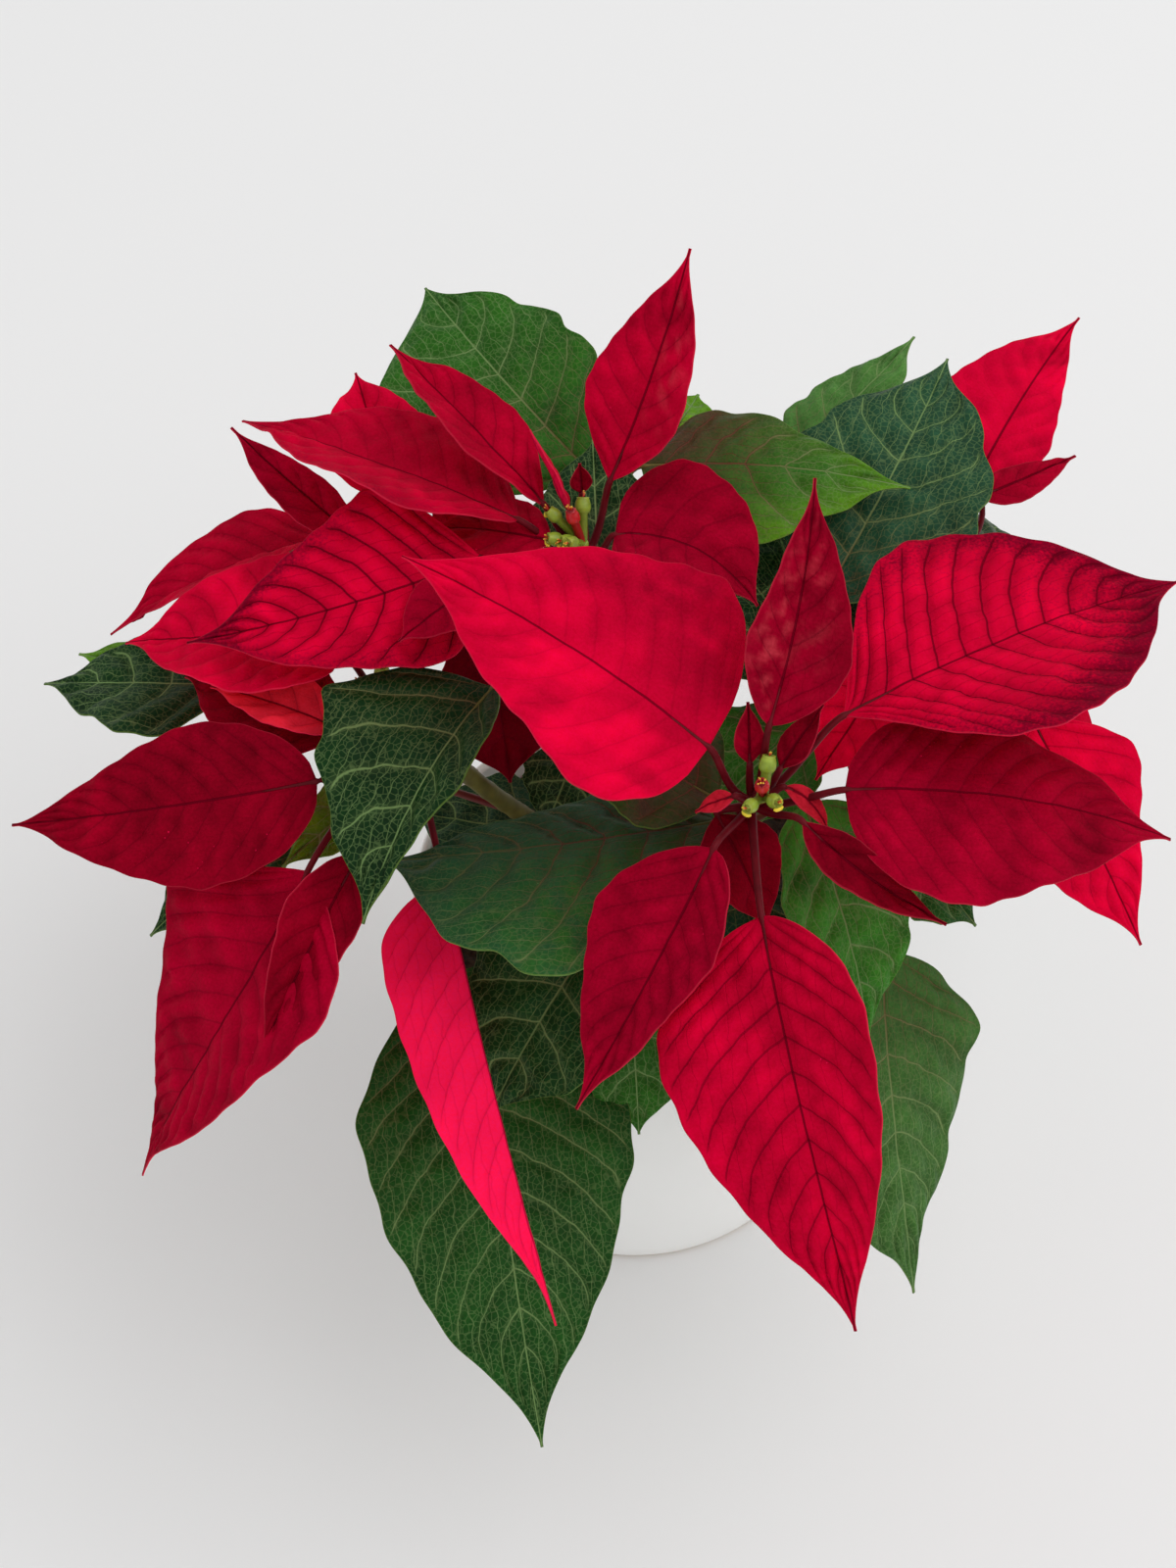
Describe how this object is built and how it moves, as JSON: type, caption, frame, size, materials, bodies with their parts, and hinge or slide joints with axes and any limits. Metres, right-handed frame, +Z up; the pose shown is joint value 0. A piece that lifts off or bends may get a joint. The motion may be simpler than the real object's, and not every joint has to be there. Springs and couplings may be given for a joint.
{
  "type": "potted poinsettia",
  "caption": "Poinsettia with pointed red bracts round small yellow-green cup clusters, over dark green leaves, on branches that stand in soil in a plain white round pot.",
  "frame": {"origin": "middle of the flat face that the pot stands on", "axes": "+Z up; +X to the right and -Y towards the viewer in the picture, which looks down from the -Y side"},
  "size_m": [0.3595, 0.3535, 0.3845],
  "materials": {
    "pot": "smooth white glaze, satin gloss",
    "soil": "moist dark peat, crumbly and matte",
    "leaves": "dark green leaf skin with pale net veins, satin",
    "bracts": "deep red, velvety and matte, quilted between dark veins",
    "cyathia": "fresh yellow-green with yellow glands, satin"
  },
  "bodies": {
    "root": {"pot": "pot", "soil": "soil", "branch_1": "leaves", "branch_2": "leaves", "branch_3": "leaves", "branch_4": "leaves", "branch_5": "leaves", "bracts_1": "bracts", "bracts_2": "bracts", "bracts_3": "bracts", "bracts_4": "bracts", "bracts_5": "bracts", "cyathia_1": "cyathia", "cyathia_2": "cyathia", "cyathia_3": "cyathia", "cyathia_4": "cyathia", "cyathia_5": "cyathia"}
  },
  "joints": []
}
